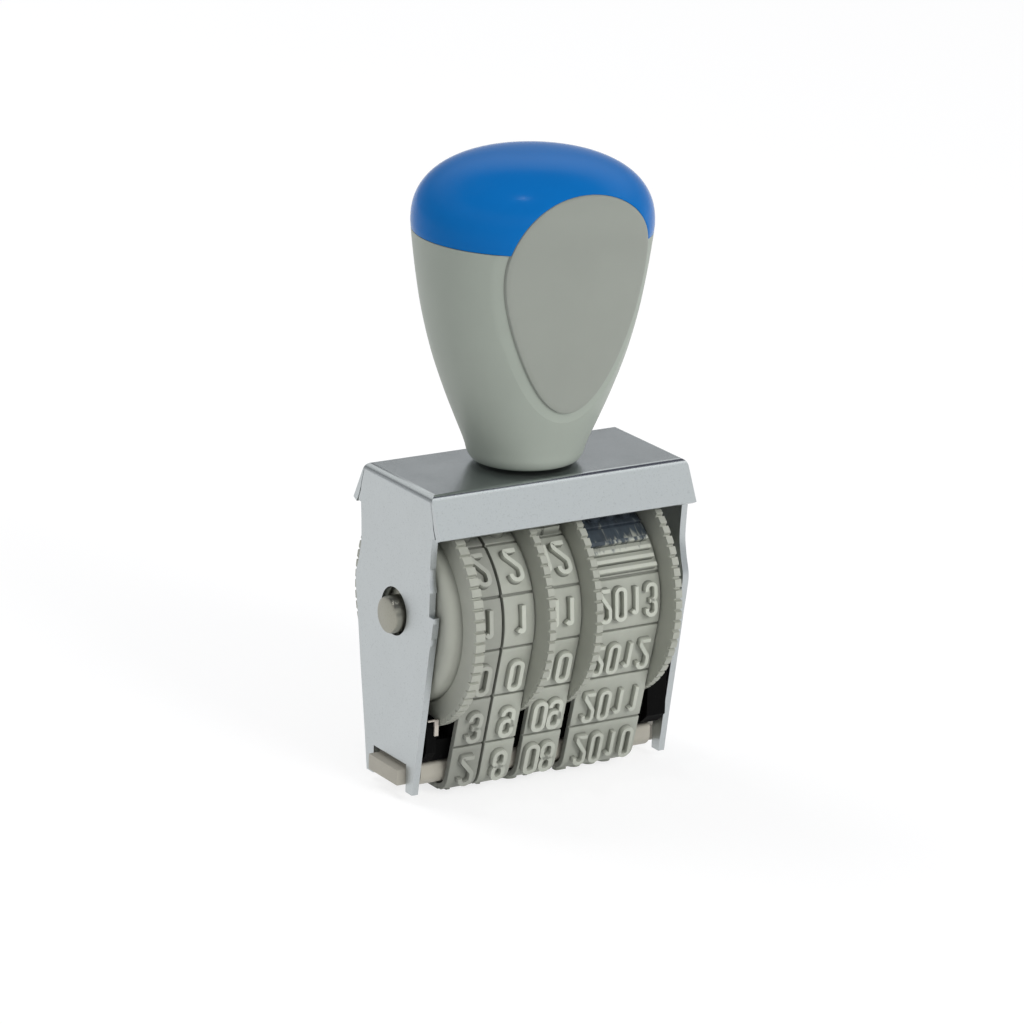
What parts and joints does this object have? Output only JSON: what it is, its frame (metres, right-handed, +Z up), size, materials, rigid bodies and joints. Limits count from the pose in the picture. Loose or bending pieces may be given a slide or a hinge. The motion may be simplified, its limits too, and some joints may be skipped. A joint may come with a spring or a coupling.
{
  "type": "date stamp",
  "caption": "Hand date stamp: a bent steel frame with rubber date bands on finger wheels, and a pear-shaped grey handle with a blue cap and a bare label.",
  "frame": {"origin": "centre of the box, at the height of the printing face", "axes": "+X across the frame from the day bands to the year band, -Y towards the front with the label, +Z up along the handle"},
  "size_m": [0.036, 0.0266, 0.073],
  "materials": {
    "plated_steel": "zinc-plated, satin, with a fine grain",
    "turned_steel": "turned, bare",
    "cast_metal": "as cast, dull",
    "wheel_plastic": "moulded, satin",
    "band_rubber": "moulded, dull",
    "guide_plastic": "black, dull",
    "handle_plastic": "grey, satin",
    "label_plastic": "grey, satin, bare",
    "cap_plastic": "blue, glossy"
  },
  "bodies": {
    "stamp_body": {"frame": "plated_steel", "axle": "turned_steel", "platen_bar": "cast_metal", "band_guide": "guide_plastic", "wheel_separator_1": "plated_steel", "wheel_separator_2": "plated_steel", "wheel_separator_3": "plated_steel", "end_spacer": "wheel_plastic", "wave_spring": "plated_steel", "day_tens_band": "band_rubber", "day_units_band": "band_rubber", "month_band": "band_rubber", "year_band": "band_rubber", "handle_body": "handle_plastic", "handle_cap": "cap_plastic", "handle_screw": "plated_steel", "label_plate": "label_plastic"},
    "day_tens": {"day_tens_wheel": "wheel_plastic"},
    "day_units": {"day_units_wheel": "wheel_plastic"},
    "month": {"month_wheel": "wheel_plastic"},
    "year": {"year_wheel": "wheel_plastic"}
  },
  "joints": [
    {"name": "day_tens_turn", "type": "hinge", "parent": "stamp_body", "child": "day_tens", "pos_m": [0, 0, 0.0211], "axis": [1, 0, 0], "continuous": true},
    {"name": "day_units_turn", "type": "hinge", "parent": "stamp_body", "child": "day_units", "pos_m": [0, 0, 0.0211], "axis": [1, 0, 0], "continuous": true},
    {"name": "month_turn", "type": "hinge", "parent": "stamp_body", "child": "month", "pos_m": [0, 0, 0.0211], "axis": [1, 0, 0], "continuous": true},
    {"name": "year_turn", "type": "hinge", "parent": "stamp_body", "child": "year", "pos_m": [0, 0, 0.0211], "axis": [1, 0, 0], "continuous": true}
  ]
}
